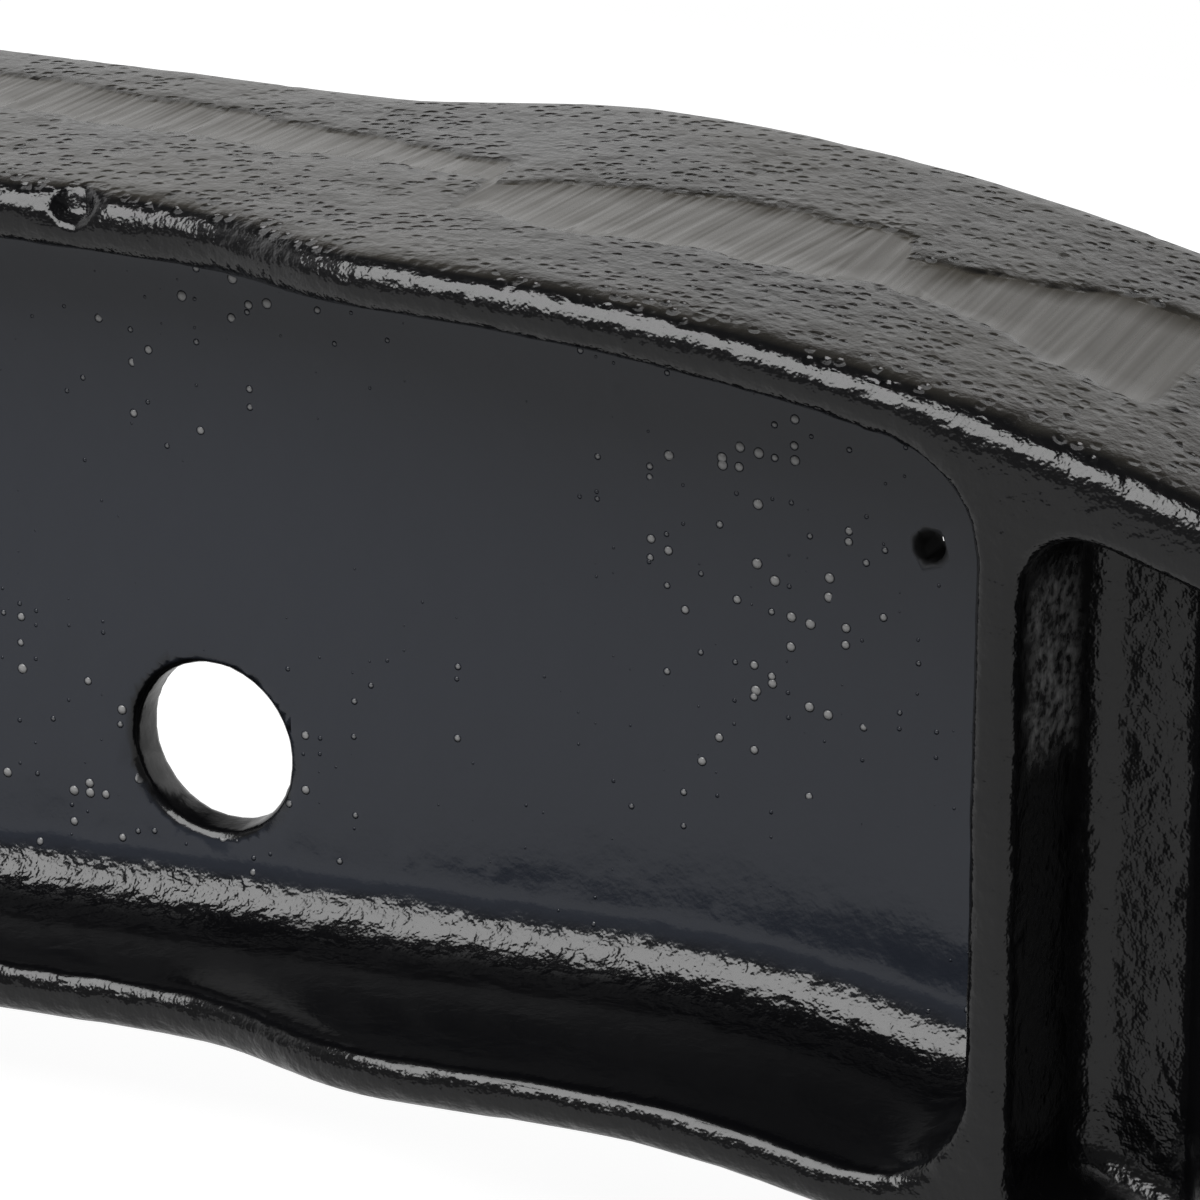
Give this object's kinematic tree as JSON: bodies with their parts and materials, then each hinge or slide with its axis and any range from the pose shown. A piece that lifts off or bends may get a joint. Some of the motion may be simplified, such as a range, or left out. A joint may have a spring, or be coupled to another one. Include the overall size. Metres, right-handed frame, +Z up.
{
  "type": "axle pivot bar",
  "caption": "Cast front axle bar of I section with a pivot hub at the middle, arched ends and an upright king pin boss at each end.",
  "frame": {"origin": "middle of the pivot bore, on both planes of symmetry of the bar", "axes": "+X along the bar to the king pin on the right, +Y along the pivot bore to the rear, +Z up along the king pins"},
  "size_m": [1.102, 0.124, 0.1606],
  "materials": {
    "black_paint": "semi-gloss black paint over rough cast skin, with a parting line ground flush along the top"
  },
  "bodies": {
    "root": {"axle_bar": "black_paint"}
  },
  "joints": []
}
